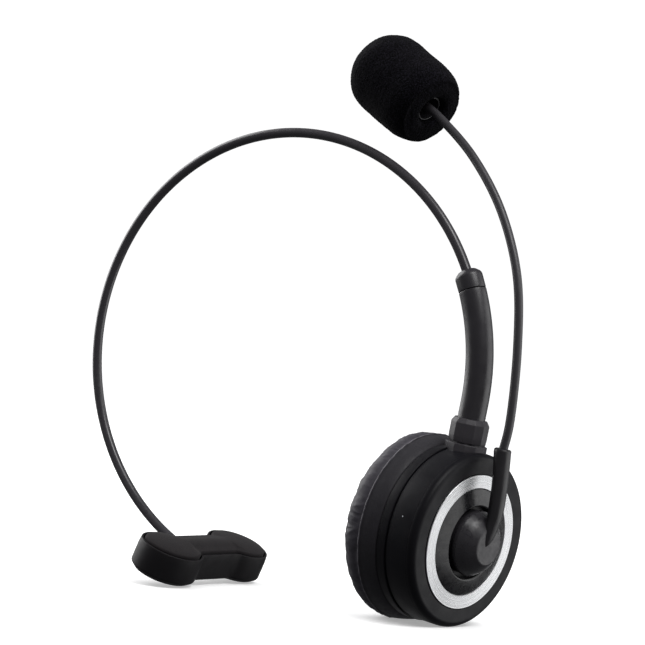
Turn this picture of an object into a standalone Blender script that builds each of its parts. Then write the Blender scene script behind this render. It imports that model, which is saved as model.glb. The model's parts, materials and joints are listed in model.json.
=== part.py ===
"""One-ear wireless office headset: a wire headband with a temple pad, a curved sleeve that the
band slides in, and an ear cup that swivels under the sleeve and carries a turning microphone arm.

Every length below is in millimetres and every angle in degrees; MM turns lengths into metres.
The part stands on z = 0, the band lies in the plane y = 0, and the ear cup is on the +X side.
"""

import math

import bmesh
import bpy
from mathutils import Matrix, Vector

MM = 0.001
GAP = 0.3  # left between pieces that touch

# Headband: a round wire bent to one circle. Angles run from +X over +Z about its centre.
BAND_CENTRE = Vector((-7.4, 0.0, 83.27))
BAND_RADIUS = 78.7
BAND_WIRE_R = 1.7
BAND_CORE_R = 1.05
BAND_FIRST, BAND_LAST = 7.15, 245.75
STOP_FIRST, STOP_LAST = 4.35, 6.85

# Sleeve: a curved tube on the same circle, closed by a round cap that the band passes.
STEM_ANGLE = -5.9
CAP_FIRST, CAP_LAST = 22.05, 27.05
BUSH_FIRST, BUSH_LAST = 17.55, 21.55
SLEEVE_R, SLEEVE_BORE_R = 4.7, 3.4
SLEEVE_STRAIGHT = 5.9  # below the end of its arc

# Stem: heights along the stem's axis, up from the centre of the ear cup.
STEM_TO_CUP = 45.25
NUT_LOW, NUT_HIGH, NUT_R = 31.9, 40.0, 6.6
COLLAR_LOW, COLLAR_HIGH, COLLAR_R = 27.6, 31.5, 7.1
STEM_LOW, STEM_R = 23.2, 2.3
NUT_FLATS = 12
NUT_TURN, COLLAR_TURN = 13.0, 4.0  # of their flats about the stem

# Ear cup: a drum turned about its own Z, which points outwards. CUP_TWIST is about the stem.
CUP_TWIST = -9.45
HOUSING_R, HOUSING_WALL = 29.7, 1.6
RIM_R = 29.4
REAR_R, REAR_LOW, REAR_HIGH = 30.1, -5.9, -2.6
FACE_Z = 9.4
RING_Z, RING_R, RING_BORE_R = 9.8, 22.9, 18.3
CUSHION_R, CUSHION_BORE_R = 31.0, 12.5
CUSHION_LOW, CUSHION_HIGH = -21.0, -6.3
SCREW_CIRCLE = 24.6
SCREW_ANGLES = (45.0, 165.0, 285.0)

# Fittings in the cup's side. Angles run about the cup's Z from its X, which faces +Y.
BUTTON_NAMES = ("volume_up_button", "call_button", "volume_down_button")
BUTTON_ANGLES = (22.0, 0.0, -22.0)
BUTTON_HALF_LENGTHS = (3.4, 4.2, 3.4)
BUTTON_HALF_HEIGHT, BUTTON_Z = 1.6, 2.2
BUTTON_FOOT_R, BUTTON_PROUD = 26.0, 0.9
SWITCH_FIRST_R, SWITCH_LAST_R = 22.7, 25.2
PORT_ANGLE, PORT_Z = -58.0, 2.4
LIGHT_ANGLE, LIGHT_Z, LIGHT_R = 168.0, 2.0, 0.6

# Hub and arm of the microphone, heights along the cup's Z.
HUB_R, HUB_TOP_R, HUB_LOW, HUB_TOP = 11.2, 6.2, 8.7, 17.6
HUB_SHOULDER = 12.0  # where its straight wall turns into the cone
DISC_BORE_R, DISC_TOP = 12.4, 11.0
SHAFT_R, SHAFT_LOW = 3.3, 4.2
ARM_TIP, ARM_END = 0.2, 33.0

# Boom: (up, out) stations of its centre line in the plane through the cup's axis and the stem.
BOOM_R, BOOM_BORE_R, BOOM_CORE_R = 1.5, 0.95, 0.6
BOOM_ROUTE = [
    (29.6, 15.1),
    (43.0, 15.8),
    (67.0, 12.8),
    (90.0, 6.8),
    (110.0, -4.9),
    (126.0, -20.9),
    (137.0, -38.0),
    (142.9, -51.0),
]
FOAM_R, FOAM_LENGTH, FOAM_BORE_R = 14.9, 36.4, 5.0
FOAM_BORE_DEPTH, FOAM_DOME = 19.0, 12.8
FOAM_END = (138.9, -42.2)  # centre of the end where the boom goes in
FOAM_AXIS = (0.420, -0.9075)

# Temple pad, parallel to the band at PAD_ANGLE. x along the band, y across, z outwards.
PAD_ANGLE, PAD_SHIFT = 249.85, 3.1
PAD_HALF_LENGTH, PAD_HALF_WIDTH, WAIST_HALF_WIDTH = 33.7, 11.3, 7.8
LOBE_HALF_LENGTH = 12.9
PAD_OUTER, PAD_RIM, PAD_FACE = 5.07, -5.6, -6.9
PAD_CUSHION_LOW = -4.6
PAD_WALL, PAD_FLOOR = 1.4, 0.9
PIN_R, PIN_LENGTH, PIN_SHOULDER = 1.0, 6.0, 1.9
CLAMP_FIRST, CLAMP_LAST, CLAMP_HALF_WIDTH = -6.2, -2.6, 4.5
PAD_SCREW_SPREAD = 3.1

ROUND = 40
SMALL = 20
SMOOTH_BELOW = 40.0


# ---------------------------------------------------------------- materials


def finish(name, colour, roughness, metallic=0.0):
    """A plain Principled material."""
    material = bpy.data.materials.new(name)
    material.use_nodes = True
    shader = material.node_tree.nodes["Principled BSDF"]
    shader.inputs["Base Color"].default_value = (*colour, 1.0)
    shader.inputs["Roughness"].default_value = roughness
    shader.inputs["Metallic"].default_value = metallic
    return material


# ---------------------------------------------------------------- making solids


def in_mm(points):
    return [Vector(point) * MM for point in points]


def as_object(name, bm, material, frame):
    """Closes a bmesh into a named object under its frame, faces outwards, round stretches smooth."""
    bmesh.ops.remove_doubles(bm, verts=bm.verts, dist=1e-7)
    bmesh.ops.dissolve_degenerate(bm, edges=bm.edges, dist=1e-8)
    bmesh.ops.recalc_face_normals(bm, faces=bm.faces)
    mesh = bpy.data.meshes.new(name)
    bm.to_mesh(mesh)
    bm.free()
    mesh.shade_smooth()
    mesh.set_sharp_from_angle(angle=math.radians(SMOOTH_BELOW))
    mesh.materials.append(material)
    piece = bpy.data.objects.new(name, mesh)
    bpy.context.scene.collection.objects.link(piece)
    piece.parent = frame
    return piece


def turned(name, profile, material, frame, segments=ROUND):
    """Turns a (radius, height) profile about Z. A profile that starts on the axis also ends on it."""
    bm = bmesh.new()
    verts = [bm.verts.new(point) for point in in_mm((r, 0, z) for r, z in profile)]
    edges = [bm.edges.new(pair) for pair in zip(verts, verts[1:])]
    if profile[0][0] > 0:
        edges.append(bm.edges.new((verts[-1], verts[0])))
    bmesh.ops.spin(
        bm,
        geom=verts + edges,
        cent=(0, 0, 0),
        axis=(0, 0, 1),
        angle=math.tau,
        steps=segments,
        use_merge=True,
    )
    return as_object(name, bm, material, frame)


def disc(name, radius, low, high, material, frame, segments=SMALL):
    """A solid cylinder about Z."""
    return turned(name, [(0, low), (radius, low), (radius, high), (0, high)], material, frame, segments)


def washer(name, bore, radius, low, high, material, frame, segments=SMALL):
    """A flat ring about Z."""
    profile = [(bore, low), (radius, low), (radius, high), (bore, high)]
    return turned(name, profile, material, frame, segments)


def lofted(name, loops, material, frame, closed=False):
    """Skins a row of equal loops. The row's ends are capped, or joined to each other if closed."""
    bm = bmesh.new()
    rows = [[bm.verts.new(point) for point in in_mm(loop)] for loop in loops]
    pairs = list(zip(rows, rows[1:]))
    if closed:
        pairs.append((rows[-1], rows[0]))
    else:
        bm.faces.new(rows[0])
        bm.faces.new(rows[-1])
    for row, following in pairs:
        count = len(row)
        for i in range(count):
            j = (i + 1) % count
            bm.faces.new((row[i], row[j], following[j], following[i]))
    return as_object(name, bm, material, frame)


def prism(name, outline, low, high, material, frame):
    """Extrudes a flat (x, y) outline from z = low to z = high."""
    loops = [[(x, y, z) for x, y in outline] for z in (low, high)]
    return lofted(name, loops, material, frame)


def block(name, low, high, material, frame):
    """A box between two corners."""
    outline = [(low[0], low[1]), (high[0], low[1]), (high[0], high[1]), (low[0], high[1])]
    return prism(name, outline, low[2], high[2], material, frame)


def circle(centre, across, along, radius, sides):
    """A loop round centre in the plane of two unit vectors."""
    turns = [math.tau * i / sides for i in range(sides)]
    return [centre + across * radius * math.cos(t) + along * radius * math.sin(t) for t in turns]


def bevelled(piece, width, segments=2, angle=35.0):
    modifier = piece.modifiers.new("Bevel", "BEVEL")
    modifier.width = width * MM
    modifier.segments = segments
    modifier.limit_method = "ANGLE"
    modifier.angle_limit = math.radians(angle)
    return piece


def combined(piece, other, operation="DIFFERENCE"):
    """Boolean of piece with a hidden helper."""
    other.hide_render = True
    other.display_type = "WIRE"
    modifier = piece.modifiers.new(operation.title(), "BOOLEAN")
    modifier.operation = operation
    modifier.object = other
    return piece


def drilled(piece, radius, matrix, length, frame, segments=16):
    """Cuts a round hole of the given length, centred on matrix and along its Z."""
    material = piece.data.materials[0]
    cutter = disc(piece.name + "_drill", radius, -length / 2, length / 2, material, frame, segments)
    cutter.matrix_local = Matrix.Translation(matrix.translation * MM) @ matrix.to_3x3().to_4x4()
    return combined(piece, cutter)


def screw(name, shank_r, head_r, low, head_high, high, material, frame, place):
    """A screw along Z whose head lies between low and head_high, moved to place."""
    head = [(0, low), (head_r, low), (head_r, head_high), (shank_r, head_high)]
    profile = head + [(shank_r, high), (0, high)]
    piece = turned(name, profile, material, frame, 12)
    piece.location = Vector(place) * MM
    return piece


def facing(direction, place=(0, 0, 0)):
    """A matrix at place whose Z points along direction."""
    rotation = Vector(direction).to_track_quat("Z", "Y").to_matrix().to_4x4()
    return Matrix.Translation(Vector(place)) @ rotation


# ---------------------------------------------------------------- frames


def empty(name, parent=None, matrix=None):
    frame = bpy.data.objects.new(name, None)
    frame.empty_display_size = 0.01
    bpy.context.scene.collection.objects.link(frame)
    frame.parent = parent
    if matrix is not None:
        frame.matrix_local = Matrix.Translation(matrix.translation * MM) @ matrix.to_3x3().to_4x4()
    return frame


def on_circle(angle, radius=BAND_RADIUS, y=0.0):
    """A point round the band's centre, in the band's frame."""
    turn = math.radians(angle)
    return Vector((radius * math.cos(turn), y, radius * math.sin(turn)))


def outward(angle):
    return on_circle(angle, 1.0)


def onward(angle):
    """The band's direction at an angle, the way the angle grows."""
    return on_circle(angle + 90.0, 1.0)


def basis(x_axis, y_axis, z_axis, place):
    matrix = Matrix((x_axis, y_axis, z_axis)).transposed().to_4x4()
    return Matrix.Translation(place) @ matrix


def stem_matrix():
    """At the foot of the sleeve's arc, Z up along the stem."""
    return basis(outward(STEM_ANGLE), Vector((0, 1, 0)), onward(STEM_ANGLE), on_circle(STEM_ANGLE))


def cup_matrix():
    """At the centre of the ear cup: Y up along the stem, Z out of the cup's face."""
    up = onward(STEM_ANGLE)
    twist = math.radians(CUP_TWIST)
    face = outward(STEM_ANGLE) * math.cos(twist) + Vector((0, 1, 0)) * math.sin(twist)
    return basis(up.cross(face), up, face, on_circle(STEM_ANGLE) - up * STEM_TO_CUP)


def pad_matrix():
    """On the pad's swivel axis at the band's end: X on round the band, Z away from the head."""
    along, across = onward(PAD_ANGLE), Vector((0, -1, 0))
    return basis(along, across, along.cross(across), on_circle(BAND_LAST))


# ---------------------------------------------------------------- sleeve and stem


def arc_loops(first, last, radius, step, sides):
    count = max(2, round((last - first) / step))
    angles = [first + (last - first) * i / count for i in range(count + 1)]
    across = Vector((0, 1, 0))
    return [circle(on_circle(a), outward(a), across, radius, sides) for a in angles]


def arc_tube(name, first, last, radius, bore, material, frame, step=3.0, sides=12):
    """A hollow tube along the band's circle."""
    outer = arc_loops(first, last, radius, step, sides)
    inner = arc_loops(first, last, bore, step, sides)
    return lofted(name, outer + inner[::-1], material, frame, closed=True)


def make_sleeve(frame, plastic, brass):
    """The curved tube, its rounded cap, and the bush that grips the band."""
    up, out, across = onward(STEM_ANGLE), outward(STEM_ANGLE), Vector((0, 1, 0))
    foot = on_circle(STEM_ANGLE) - up * SLEEVE_STRAIGHT
    walls = []
    for radius in (SLEEVE_R, SLEEVE_BORE_R):
        walls.append([circle(foot, out, across, radius, 16)])
        walls[-1] += arc_loops(STEM_ANGLE, CAP_FIRST - 0.2, radius, 3.0, 16)
    lofted("sleeve_tube", walls[0] + walls[1][::-1], plastic, frame, closed=True)

    steps = [(0.0, 0.0), (0.62, 0.0), (0.8, 0.12), (0.93, 0.36), (1.0, 0.8)]
    outer = []
    for share, drop in steps:
        angle = CAP_FIRST + (CAP_LAST - CAP_FIRST) * share
        outer.append(circle(on_circle(angle), outward(angle), across, SLEEVE_R - drop * 1.6, 16))
    ends = (CAP_LAST, CAP_FIRST)
    bore = [circle(on_circle(a), outward(a), across, BAND_WIRE_R + GAP, 16) for a in ends]
    lofted("sleeve_cap", outer + bore, plastic, frame, closed=True)
    arc_tube("friction_bush", BUSH_FIRST, BUSH_LAST, SLEEVE_BORE_R - GAP, BAND_WIRE_R + GAP, brass, frame)


def make_stem(frame, plastic, steel):
    """The faceted nut under the sleeve and the swivel stem that hangs the ear cup.

    Heights are counted from the cup's centre, and the frame's origin is STEM_TO_CUP above it.
    """
    drop = STEM_TO_CUP
    nut = turned(
        "sleeve_nut",
        [
            (STEM_R + GAP, NUT_LOW - drop),
            (NUT_R, NUT_LOW - drop),
            (NUT_R, NUT_HIGH - 1.4 - drop),
            (NUT_R - 1.1, NUT_HIGH - drop),
            (SLEEVE_R + GAP, NUT_HIGH - drop),
            (SLEEVE_R + GAP, NUT_LOW + 2.6 - drop),
            (STEM_R + GAP, NUT_LOW + 2.6 - drop),
        ],
        plastic,
        frame,
        NUT_FLATS,
    )
    nut.rotation_euler.z = math.radians(NUT_TURN)
    nut.data.set_sharp_from_angle(angle=math.radians(20))
    shoulder = NUT_LOW + 2.6 + GAP
    turned(
        "swivel_stem",
        [
            (0, STEM_LOW - drop),
            (STEM_R, STEM_LOW - drop),
            (STEM_R, STEM_LOW + 0.9 - drop),
            (STEM_R - 0.7, STEM_LOW + 0.9 - drop),
            (STEM_R - 0.7, STEM_LOW + 2.1 - drop),
            (STEM_R, STEM_LOW + 2.1 - drop),
            (STEM_R, shoulder - drop),
            (SLEEVE_BORE_R - GAP, shoulder - drop),
            (SLEEVE_BORE_R - GAP, shoulder + 7.4 - drop),
            (0, shoulder + 7.4 - drop),
        ],
        steel,
        frame,
        SMALL,
    )
    clip_low = STEM_LOW + 1.2 - drop
    bore = STEM_R - 0.7 + GAP * 0.5
    washer("stem_clip", bore, STEM_R + 0.8, clip_low, clip_low + 0.6, steel, frame)


# ---------------------------------------------------------------- headband


def make_band(frame, coating, steel):
    """The sprung wire, its coating, and the ferrules on its two ends."""
    arc_tube("band_coating", BAND_FIRST, BAND_LAST, BAND_WIRE_R, BAND_CORE_R + GAP, coating, frame, 3.6, 8)
    core = arc_loops(BAND_FIRST, BAND_LAST, BAND_CORE_R, 3.6, 6)
    lofted("band_wire", core, steel, frame)
    stop = arc_loops(STOP_FIRST, STOP_LAST, 2.6, 1.2, 12)
    lofted("band_end_stop", stop, steel, frame)


def make_pad_pin(frame, steel):
    """A straight pin in the band's end that the temple pad swivels on, on Z of its own frame."""
    turned(
        "pad_swivel_pin",
        [
            (0, GAP),
            (BAND_WIRE_R, GAP),
            (BAND_WIRE_R, PIN_SHOULDER),
            (PIN_R, PIN_SHOULDER),
            (PIN_R, PIN_LENGTH),
            (0, PIN_LENGTH),
        ],
        steel,
        frame,
        16,
    )


# ---------------------------------------------------------------- temple pad


def dog_bone(inset=0.0, steps=9):
    """The pad's outline: two oval lobes and a narrower waist, drawn in from the edge by inset."""
    half_length = LOBE_HALF_LENGTH - inset
    half_width = PAD_HALF_WIDTH - inset
    waist = WAIST_HALF_WIDTH - inset
    lobe = PAD_HALF_LENGTH - LOBE_HALF_LENGTH
    last = math.pi - math.asin(waist / half_width) * 1.06
    quarter = []
    for i in range(steps + 1):
        turn = last * i / steps
        quarter.append((half_width * math.sin(turn), lobe + half_length * math.cos(turn)))
    quarter.append((waist, quarter[-1][1] - 1.6))
    right = quarter + [(x, -y) for x, y in quarter[::-1]]
    left = [(-x, y) for x, y in right[1:-1]][::-1]
    return right + left


def pad_place():
    """Where the pad's own centre lies in the pad's frame."""
    return pad_matrix().inverted() @ on_circle(PAD_ANGLE) + Vector((PAD_SHIFT, 0, 0))


def make_pad(frame, shell, leather, plastic, steel):
    """A shallow dog-bone tray with a soft face, and the block in it that holds the swivel pin."""
    centre = pad_place()
    shift = Matrix.Translation(centre * MM)

    sides = [
        (0.35, PAD_RIM),
        (0.0, PAD_RIM + 0.4),
        (0.0, PAD_OUTER - 1.1),
        (0.35, PAD_OUTER - 0.3),
        (1.0, PAD_OUTER),
    ]
    loops = [[(x, y, z) for x, y in dog_bone(inset)] for inset, z in sides]
    tray = lofted("pad_tray", loops, shell, frame)
    tray.matrix_local = shift
    hollow = prism("pad_hollow", dog_bone(PAD_WALL), PAD_RIM - 1.0, PAD_OUTER - PAD_FLOOR, shell, frame)
    hollow.matrix_local = shift
    combined(tray, hollow)
    axis = pad_matrix().inverted().to_3x3() @ onward(BAND_LAST)
    drilled(tray, BAND_WIRE_R + GAP, facing(axis), 6.0, frame)

    cushion = prism("pad_cushion", dog_bone(PAD_WALL + GAP), PAD_FACE, PAD_CUSHION_LOW, leather, frame)
    cushion.matrix_local = shift
    bevelled(cushion, 0.9)

    low = centre + Vector((CLAMP_FIRST, -CLAMP_HALF_WIDTH, -3.2))
    high = centre + Vector((CLAMP_LAST, CLAMP_HALF_WIDTH, PAD_OUTER - PAD_FLOOR - GAP))
    clamp = block("pad_clamp", low, high, plastic, frame)
    drilled(clamp, PIN_R + GAP, facing(axis, axis * 5.0), 12.0, frame)
    for number, side in enumerate((-1, 1), 1):
        place = centre + Vector(((CLAMP_FIRST + CLAMP_LAST) / 2, side * PAD_SCREW_SPREAD, 0))
        drilled(clamp, 0.9, Matrix.Translation(place), 12.0, frame, 10)
        screw(f"pad_screw_{number}", 0.6, 1.2, -4.2, -3.5, 0.2, steel, frame, place)


# ---------------------------------------------------------------- ear cup


def make_cushion(frame, leather, plastic, cloth):
    """The ear cushion, the plate that it stretches over, and the cloth before the speaker."""
    low, high, radius, bore = CUSHION_LOW, CUSHION_HIGH, CUSHION_R, CUSHION_BORE_R
    turned(
        "ear_cushion",
        [
            (bore, high - 1.3),
            (28.2, high - 1.3),
            (28.2, high),
            (29.3, high),
            (radius, -11.5),
            (radius, -14.5),
            (radius - 2.2, low + 1.6),
            (radius - 5.5, low),
            (bore + 5.0, low),
            (bore + 1.3, low + 1.8),
            (bore, low + 5.0),
        ],
        leather,
        frame,
    )
    washer("cushion_plate", bore + 0.3, 27.8, high - 1.0, high + 0.1, plastic, frame, ROUND)
    disc("speaker_cloth", 12.2, -4.5, -4.0, cloth, frame, 32)


def make_housing(frame, plastic, gloss, silver):
    """Rear ring with its baffle, drum, front bezel, and the trim set into the bezel."""
    rear = turned(
        "rear_housing",
        [
            (12.8, -4.6),
            (28.4, -4.6),
            (28.4, REAR_LOW),
            (REAR_R, REAR_LOW),
            (REAR_R, REAR_HIGH),
            (28.4, REAR_HIGH),
            (28.4, -3.4),
            (12.8, -3.4),
        ],
        plastic,
        frame,
    )
    drum = turned(
        "main_housing",
        [
            (HOUSING_R - HOUSING_WALL, -2.3),
            (HOUSING_R, -2.3),
            (HOUSING_R, 6.2),
            (HOUSING_R - HOUSING_WALL, 6.2),
        ],
        plastic,
        frame,
    )
    bezel = turned(
        "front_bezel",
        [
            (SHAFT_R + GAP, 6.6),
            (RIM_R, 6.6),
            (RIM_R, 7.9),
            (RIM_R - 0.5, 8.8),
            (RIM_R - 1.5, FACE_Z),
            (RING_R + GAP, FACE_Z),
            (RING_R + GAP, 8.3),
            (SHAFT_R + GAP, 8.3),
        ],
        plastic,
        frame,
    )
    washer("trim_ring", RING_BORE_R, RING_R, 8.6, RING_Z, silver, frame, ROUND)
    turned(
        "face_disc",
        [
            (DISC_BORE_R, 8.6),
            (RING_BORE_R - GAP, 8.6),
            (RING_BORE_R - GAP, 9.6),
            (DISC_BORE_R + 0.3, DISC_TOP),
            (DISC_BORE_R, DISC_TOP - 0.2),
        ],
        gloss,
        frame,
    )

    upward = facing((0, 1, 0), (0, HOUSING_R, 0))
    drilled(drum, STEM_R + GAP, upward, 8.0, frame)
    for angle in SCREW_ANGLES:
        drilled(rear, 1.0, Matrix.Translation(polar(angle, SCREW_CIRCLE, -4.0)), 4.0, frame, 10)
        post = disc("bezel_post", 2.1, -1.6, 6.9, plastic, frame, 12)
        post.location = polar(angle, SCREW_CIRCLE, 0) * MM
        combined(bezel, post, "UNION")
        drilled(bezel, 0.9, Matrix.Translation(polar(angle, SCREW_CIRCLE, -1.6)), 11.0, frame, 10)
    return drum


def polar(angle, radius, z):
    """A point in the cup's frame, its angle counted from +X towards the stem."""
    turn = math.radians(angle)
    return Vector((radius * math.cos(turn), radius * math.sin(turn), z))


def make_collar(frame, plastic):
    """The faceted collar that the nut turns on, its foot hollowed to sit on the round drum."""
    collar = turned(
        "stem_collar",
        [
            (STEM_R + GAP, COLLAR_LOW - 1.0),
            (COLLAR_R - 0.6, COLLAR_LOW - 1.0),
            (COLLAR_R, COLLAR_HIGH - 2.4),
            (COLLAR_R, COLLAR_HIGH - 0.3),
            (COLLAR_R - 0.4, COLLAR_HIGH),
            (STEM_R + GAP, COLLAR_HIGH),
        ],
        plastic,
        frame,
        NUT_FLATS,
    )
    upright = Matrix.Rotation(math.radians(-90), 4, "X")
    collar.matrix_local = upright @ Matrix.Rotation(math.radians(COLLAR_TURN), 4, "Z")
    collar.data.set_sharp_from_angle(angle=math.radians(20))
    wide, narrow, step = REAR_R + GAP, HOUSING_R + GAP, REAR_HIGH + GAP
    profile = [(0, -12.0), (wide, -12.0), (wide, step), (narrow, step), (narrow, 12.0), (0, 12.0)]
    scoop = turned("collar_scoop", profile, plastic, frame)
    return combined(collar, scoop)


def make_speaker(frame, steel, film):
    """A flat dynamic speaker behind the baffle: basket, magnet and diaphragm."""
    turned(
        "speaker_frame",
        [(11.9, -3.1), (14.0, -3.1), (14.0, -1.6), (7.4, -0.6), (6.4, -0.6), (6.4, -1.4), (11.9, -2.4)],
        steel,
        frame,
        32,
    )
    disc("speaker_magnet", 6.0, -1.9, 0.2, steel, frame)
    turned(
        "speaker_diaphragm",
        [(0, -2.5), (5.0, -2.3), (11.5, -3.0), (11.5, -3.3), (5.0, -2.7), (0, -2.9)],
        film,
        frame,
        32,
    )


def make_electronics(frame, board_green, steel, battery_silver, black):
    """Circuit board with its radio module, the battery, switches, status light and charging socket."""
    disc("circuit_board", 22.4, 0.6, 1.6, board_green, frame, ROUND)
    block("radio_module", (8.0, -9.0, 1.9), (19.0, 4.0, 3.9), steel, frame)
    bevelled(block("battery", (-21.5, -14.5, 1.9), (-7.5, 14.5, 5.9), battery_silver, frame), 0.6)

    for number, angle in enumerate(BUTTON_ANGLES, 1):
        low, high = (SWITCH_FIRST_R, -1.8, 1.1), (SWITCH_LAST_R, 1.8, 4.1)
        switch = block(f"button_switch_{number}", low, high, black, frame)
        switch.rotation_euler.z = math.radians(angle)


def button_outline(half_length, half_height, steps=5):
    """A long rounded bar."""
    points = []
    for side, start in ((1, -90.0), (-1, 90.0)):
        for i in range(steps + 1):
            turn = math.radians(start + 180.0 * i / steps)
            x = side * (half_length - half_height) + half_height * math.cos(turn)
            points.append((x, half_height * math.sin(turn)))
    return points


def make_buttons(frame, drum, rubber):
    """Three buttons in the side of the drum, each in a window, its Z pointing out along its travel."""
    for name, angle, half_length in zip(BUTTON_NAMES, BUTTON_ANGLES, BUTTON_HALF_LENGTHS):
        out = polar(angle, 1.0, 0)
        along = Vector((0, 0, 1)).cross(out)
        place = basis(along, Vector((0, 0, 1)), out, polar(angle, BUTTON_FOOT_R, BUTTON_Z))
        axis = empty(name + "_axis", frame, place)
        outline = button_outline(half_length, BUTTON_HALF_HEIGHT)
        cap = prism(name, outline, 0.0, HOUSING_R + BUTTON_PROUD - BUTTON_FOOT_R, rubber, axis)
        bevelled(cap, 0.35)
        window = prism(
            name + "_window",
            button_outline(half_length + GAP, BUTTON_HALF_HEIGHT + GAP),
            -1.0,
            8.0,
            rubber,
            axis,
        )
        combined(drum, window)


def make_side_fittings(frame, drum, steel, lens, black):
    """The charging socket low in the cup's +Y side, and the status light in its -Y side."""
    out = polar(PORT_ANGLE, 1.0, 0)
    along = Vector((0, 0, 1)).cross(out)
    place = basis(along, Vector((0, 0, 1)), out, polar(PORT_ANGLE, HOUSING_R, PORT_Z))
    port_axis = empty("charging_socket_axis", frame, place)
    window = prism("socket_window", button_outline(4.9, 2.0), -4.0, 4.0, steel, port_axis)
    combined(drum, window)
    shell = prism("charging_socket", button_outline(4.5, 1.6), -7.0, -0.7, steel, port_axis)
    mouth = prism("socket_mouth", button_outline(4.2, 1.3), -5.8, 1.0, steel, port_axis)
    combined(shell, mouth)
    block("socket_tongue", (-3.3, -0.35, -5.5), (3.3, 0.35, -1.4), black, port_axis)

    side = polar(LIGHT_ANGLE, 1.0, 0)
    place = facing(side, polar(LIGHT_ANGLE, HOUSING_R, LIGHT_Z))
    light_axis = empty("status_light_axis", frame, place)
    drilled(drum, LIGHT_R + GAP, Matrix.Identity(4), 6.0, light_axis, 12)
    disc("status_light", LIGHT_R, -2.4, 0.0, lens, light_axis, 12)


def make_screws(frame, steel):
    """Three screws that pull the rear ring and the bezel together round the drum."""
    for number, angle in enumerate(SCREW_ANGLES, 1):
        place = polar(angle, SCREW_CIRCLE, 0)
        screw(f"housing_screw_{number}", 0.6, 1.5, -5.8, -4.9, 3.2, steel, frame, place)


# ---------------------------------------------------------------- microphone arm


def arm_sections():
    """(height, half width, half depth, x, z) of the arm's oval sections, from tip to socket."""
    return [
        (ARM_TIP, 0.35, 0.4, -1.9, 17.3),
        (1.6, 1.35, 1.2, -1.2, 17.0),
        (4.0, 2.2, 1.9, -0.55, 16.9),
        (7.5, 2.6, 2.3, -0.2, 17.1),
        (12.0, 2.8, 2.5, 0.0, 17.4),
        (20.0, 2.85, 2.55, 0.0, 17.0),
        (27.0, 2.85, 2.7, 0.0, 16.1),
        (31.8, 2.9, 2.9, 0.0, 15.3),
        (ARM_END, 2.3, 2.3, 0.0, 15.2),
    ]


def make_arm(frame, plastic, steel):
    """The hub with its blade-like arm, and what holds it in the bezel: screw, washer and spring."""
    arm = turned(
        "mic_arm",
        [
            (0, HUB_TOP),
            (HUB_TOP_R - 0.5, HUB_TOP - 0.1),
            (HUB_TOP_R + 0.4, HUB_TOP - 0.5),
            (HUB_R - 0.3, HUB_SHOULDER + 0.5),
            (HUB_R, HUB_SHOULDER),
            (HUB_R, HUB_LOW),
            (SHAFT_R, HUB_LOW),
            (SHAFT_R, SHAFT_LOW),
            (0, SHAFT_LOW),
        ],
        plastic,
        frame,
        ROUND,
    )
    across, out = Vector((1, 0, 0)), Vector((0, 0, 1))
    loops = []
    for height, half_width, half_depth, x, z in arm_sections():
        loops.append(circle(Vector((x, height, z)), across * half_width, out * half_depth, 1.0, 16))
    blade = lofted("arm_blade", loops, plastic, frame)
    combined(arm, blade, "UNION")
    start, ahead = Vector((0, *BOOM_ROUTE[0])), Vector((0, *BOOM_ROUTE[1]))
    drilled(arm, BOOM_R + GAP, facing(ahead - start, ahead), 2 * (ahead - start).length + 0.8, frame, 12)
    drilled(arm, 1.25, Matrix.Translation((0, 0, SHAFT_LOW)), 8.0, frame, 12)

    turned(
        "pivot_screw",
        [(0, 1.9), (2.3, 1.9), (2.3, 2.9), (0.95, 2.9), (0.95, 7.9), (0, 7.9)],
        steel,
        frame,
        16,
    )
    washer("pivot_washer", 1.3, 5.0, 3.2, 3.8, steel, frame)
    washer("friction_spring", SHAFT_R + GAP, 5.2, 4.15, 6.25, steel, frame)


def smooth_route(points, per_span=5):
    """Points on a Catmull-Rom curve through the given ones."""
    ends = [2 * points[0] - points[1]] + points + [2 * points[-1] - points[-2]]
    route = []
    for a, b, c, d in zip(ends, ends[1:], ends[2:], ends[3:]):
        for i in range(per_span):
            t = i / per_span
            square = (2 * a - 5 * b + 4 * c - d) * t**2
            cube = (3 * b - a - 3 * c + d) * t**3
            route.append((2 * b + (c - a) * t + square + cube) / 2)
    return route + [points[-1]]


def boom_loops(route, radius, sides):
    across = Vector((1, 0, 0))
    loops = []
    for i, point in enumerate(route):
        ahead = (route[min(i + 1, len(route) - 1)] - route[max(i - 1, 0)]).normalized()
        loops.append(circle(point, across, across.cross(ahead), radius, sides))
    return loops


def make_boom(frame, rubber, steel):
    """The bendable boom: a soft tube round a wire that keeps its bend."""
    route = smooth_route([Vector((0, up, out)) for up, out in BOOM_ROUTE])
    outer = boom_loops(route, BOOM_R, 8)
    inner = boom_loops(route, BOOM_BORE_R, 8)
    lofted("boom_tube", outer + inner[::-1], rubber, frame, closed=True)
    lofted("boom_wire", boom_loops(route, BOOM_CORE_R, 6), steel, frame)


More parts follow.
